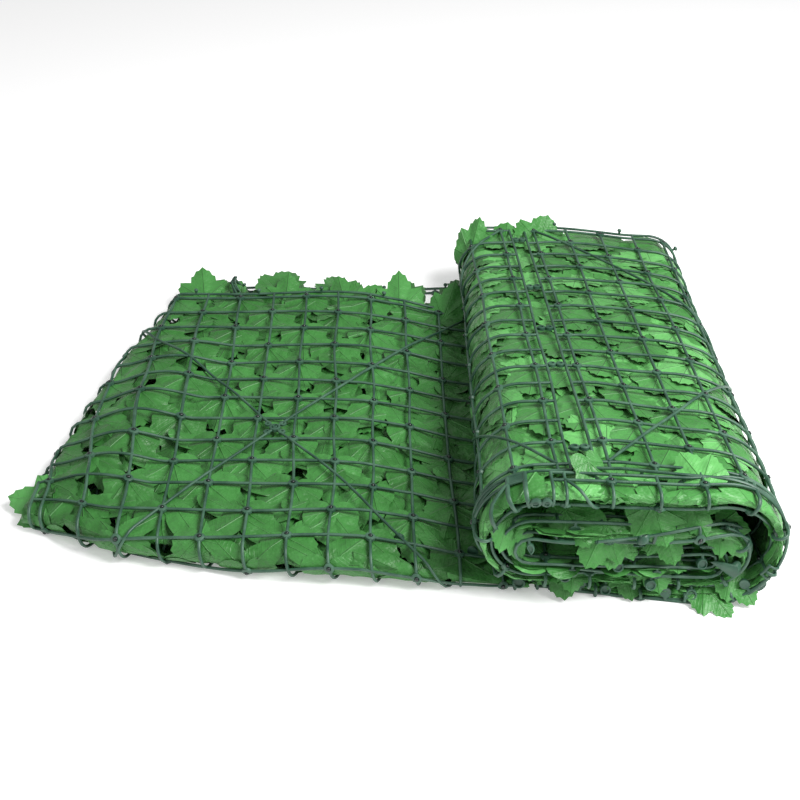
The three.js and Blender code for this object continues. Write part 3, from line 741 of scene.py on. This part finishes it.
class Value:
    """A shader value that adds its Math nodes as it is used in an expression."""

    def __init__(self, shader, socket):
        self.shader, self.socket = shader, socket

    def math(self, operation, *others):
        return self.shader.node("ShaderNodeMath", {"operation": operation}, [self, *others])

    def __add__(self, other):
        return self.math("ADD", other)

    __radd__ = __add__

    def __mul__(self, other):
        return self.math("MULTIPLY", other)

    __rmul__ = __mul__

    def __sub__(self, other):
        return self.math("SUBTRACT", other)

    def __rsub__(self, other):
        return self.shader.node("ShaderNodeMath", {"operation": "SUBTRACT"}, [other, self])

    def __abs__(self):
        return self.math("ABSOLUTE")

    def minimum(self, other):
        return self.math("MINIMUM", other)

    def step(self, low, high):
        """Eases from 0 to 1 between two values, the first of which may be the higher one."""
        return self.shader.node("ShaderNodeMapRange", {"interpolation_type": "SMOOTHSTEP"},
                                {"Value": self, "From Min": low, "From Max": high})


class Shader:
    """One procedural material."""

    def __init__(self, name):
        self.material = bpy.data.materials.new(name)
        self.material.use_nodes = True
        self.tree = self.material.node_tree
        self.surface = self.tree.nodes["Principled BSDF"]

    def node(self, kind, settings, values, output=0):
        """Adds a node: its settings first, then values or links by the names or order of sockets."""
        made = self.tree.nodes.new(kind)
        for key, value in settings.items():
            setattr(made, key, value)
        pairs = values.items() if isinstance(values, dict) else enumerate(values)
        for key, value in pairs:
            self.feed(made.inputs[key], value)
        return Value(self, made.outputs[output])

    def feed(self, socket, value):
        if isinstance(value, Value):
            self.tree.links.new(value.socket, socket)
        else:
            socket.default_value = value

    def mix(self, factor, first, second):
        """Mixes two colours, each a triple or a value."""
        made = self.tree.nodes.new("ShaderNodeMix")
        made.data_type = "RGBA"
        self.feed(made.inputs["Factor"], factor)
        for name, colour in (("A", first), ("B", second)):
            socket = [s for s in made.inputs if s.name == name and s.type == "RGBA"][0]
            self.feed(socket, colour if isinstance(colour, Value) else (*colour, 1.0))
        return Value(self, [s for s in made.outputs if s.type == "RGBA"][0])

    def noise(self, scale, detail=2.0, roughness=0.5):
        place = self.node("ShaderNodeTexCoord", {}, {}, "Object")
        values = {"Vector": place, "Scale": scale, "Detail": detail, "Roughness": roughness}
        return self.node("ShaderNodeTexNoise", {}, values, "Fac")

    def bump(self, height, strength, distance):
        return self.node("ShaderNodeBump", {}, {"Height": height, "Strength": strength,
                                                "Distance": distance}, "Normal")

    def finish(self, **sockets):
        for name, value in sockets.items():
            self.feed(self.surface.inputs[name.replace("_", " ")], value)
        return self.material


NET_DARK = (0.016, 0.058, 0.034)
NET_LIGHT = (0.046, 0.112, 0.070)
PEG_COLOUR = (0.006, 0.014, 0.011, 1.0)
LEAF_DARK = (0.020, 0.115, 0.016)
LEAF_MID = (0.051, 0.232, 0.045)
# pale green for the veins, and for the painted light on the roll's leaves
LEAF_PALE_VEIN_AND_LIT = (0.120, 0.400, 0.105)


def net_plastic():
    """Grey-green moulded plastic, unevenly dull, with a fine drawn grain."""
    shader = Shader("net_plastic")
    patch = shader.noise(45.0, 3.0, 0.6)
    grain = shader.noise(900.0, 2.0, 0.5)
    colour = shader.mix(patch.step(0.35, 0.68), NET_DARK, NET_LIGHT)
    rough = 0.34 + patch * 0.22
    normal = shader.bump(grain + patch * 0.6, 0.25, 0.0006)
    return shader.finish(Base_Color=colour, Roughness=rough, Normal=normal, Specular_IOR_Level=0.45)


def peg_plastic():
    """Nearly black glossy plastic, finely scratched."""
    shader = Shader("peg_plastic")
    scratch = shader.noise(1200.0, 2.0, 0.5)
    return shader.finish(Base_Color=PEG_COLOUR, Roughness=0.14 + scratch * 0.12,
                         Normal=shader.bump(scratch, 0.1, 0.0003))


def leaf_fabric():
    """Green coated fabric: each leaf of its own tone, with pressed veins and a fine weave. High
    tones, which the roll's leaves have, are mixed towards a pale green as painted light.
    """
    shader = Shader("leaf_fabric")
    place = shader.node("ShaderNodeAttribute", {"attribute_name": "leaf"}, {}, "Vector")
    split = shader.tree.nodes.new("ShaderNodeSeparateXYZ")
    shader.feed(split.inputs[0], place)
    across, length, tone = (Value(shader, split.outputs[k]) for k in range(3))
    side = abs(across)
    angle = side.math("ARCTAN2", length)
    reach = (side * side + length * length).math("SQRT")
    off = abs(angle).minimum(abs(angle - math.radians(VEINS[1]))).minimum(
        abs(angle - math.radians(VEINS[2])))
    vein = 1 - (off * reach).step(0.004, 0.020)
    ribs = ((length - side * 0.9) * 10.0).math("FRACT")
    twig = (1 - abs(ribs - 0.5).step(0.0, 0.16)) * (1 - vein)
    weave = shader.noise(1500.0, 1.0, 0.5)
    crumple = shader.noise(75.0, 3.0, 0.55)
    pale = tone * 0.65 + crumple.step(0.3, 0.75) * 0.35
    base = shader.mix(pale, LEAF_DARK, LEAF_MID)
    # painted light: leaves of tone above 0.75, most of them in the roll, are mixed towards pale green
    lit = shader.mix((tone - 0.75).step(0.0, 0.55) * 0.8, base, LEAF_PALE_VEIN_AND_LIT)
    colour = shader.mix(vein * 0.10, lit, LEAF_PALE_VEIN_AND_LIT)
    rough = 0.34 + crumple * 0.20
    height = vein * 0.8 + twig * 0.12 + crumple * 3.2 + weave * 0.12
    normal = shader.bump(height, 0.7, 0.0014)
    return shader.finish(Base_Color=colour, Roughness=rough, Normal=normal, Sheen_Weight=0.06,
                         Specular_IOR_Level=0.42)


net_materials = [net_plastic(), peg_plastic()]
leaf_material = leaf_fabric()

# Which solids each panel stands for
STANDS_FOR = {1: "net_floor", 2: "net_roll_1", 3: "net_roll_2", 8: "net_top"}

for panel in range(1, PANELS + 1):
    build = Build()
    panel_leaves(build, panel)
    build.object(f"leaves_panel_{panel}", [leaf_material],
                                    lambda points, n=panel: bend(n, points), "leaf")
    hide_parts("leaves_loose_end" if panel in (1, PANELS) else "leaves_roll")

build = Build()
for row in SINGLE_LEAVES:
    single_leaf(build, *row)
single_leaves = build.object("leaves_single", [leaf_material], lambda points: points, "leaf")
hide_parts("leaves_roll")

nets = {}
for panel in range(1, PANELS + 1):
    build = Build()
    net_bars(build)
    net_fittings(build, panel)
    edge_studs(build, panel)
    if panel == TAB_PANEL:
        open_tab(build, TAB_AT)
    nets[panel] = build.object(f"net_panel_{panel}", net_materials,
                               lambda points, n=panel: bend(n, points))
    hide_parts(STANDS_FOR.get(panel, "leaves_roll"))

for panel, net in nets.items():
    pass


def floor():
    """The plain pale ground."""
    half = 6.0
    mesh = bpy.data.meshes.new("ground")
    corners = [(-half, -half, 0), (half, -half, 0), (half, half, 0), (-half, half, 0)]
    mesh.from_pydata(corners, [], [[0, 1, 2, 3]])
    shader = Shader("ground_white")
    mesh.materials.append(shader.finish(Base_Color=(0.85, 0.85, 0.85, 1), Roughness=0.8,
                                        Emission_Color=(1, 1, 1, 1), Emission_Strength=0.3))
    ground = bpy.data.objects.new("ground", mesh)
    bpy.context.scene.collection.objects.link(ground)


def camera():
    """The photograph's view, found from the net's even cells."""
    place = np.array([83.0, -990.0, 664.0]) + SHIFT
    pitch, yaw = math.radians(31.7), math.radians(1.0)
    lens = bpy.data.cameras.new("camera")
    lens.sensor_width = 36.0
    lens.lens = 65.0
    lens.clip_start = 0.05
    lens.clip_end = 50.0
    view = bpy.data.objects.new("camera", lens)
    view.location = place / 1000
    view.rotation_euler = (math.pi / 2 - pitch, 0, -yaw)
    bpy.context.scene.collection.objects.link(view)
    bpy.context.scene.camera = view


def area_light(name, place, aim, size, power):
    """A square soft light at a place, in metres, turned to what it lights."""
    light = bpy.data.lights.new(name, "AREA")
    light.shape = "SQUARE"
    light.size = size
    light.energy = power
    lamp = bpy.data.objects.new(name, light)
    lamp.location = place
    way = np.array(place) - np.array(aim)
    lamp.rotation_euler = (math.atan2(math.hypot(way[0], way[1]), way[2]), 0,
                           math.atan2(way[1], way[0]) + math.pi / 2)
    bpy.context.scene.collection.objects.link(lamp)


def studio():
    """Plain soft light: a pale surround, a key light and a weak fill."""
    world = bpy.data.worlds.new("studio")
    world.use_nodes = True
    world.node_tree.nodes["Background"].inputs["Color"].default_value = (1, 1, 1, 1)
    world.node_tree.nodes["Background"].inputs["Strength"].default_value = 0.42
    bpy.context.scene.world = world
    area_light("key", (0.85, -0.50, 1.10), (0.1, 0, 0.05), 0.8, 37)
    area_light("fill", (-1.2, -1.1, 1.1), (0, 0, 0.05), 1.2, 6)
    bpy.context.scene.view_settings.view_transform = "Standard"


camera()
floor()
studio()
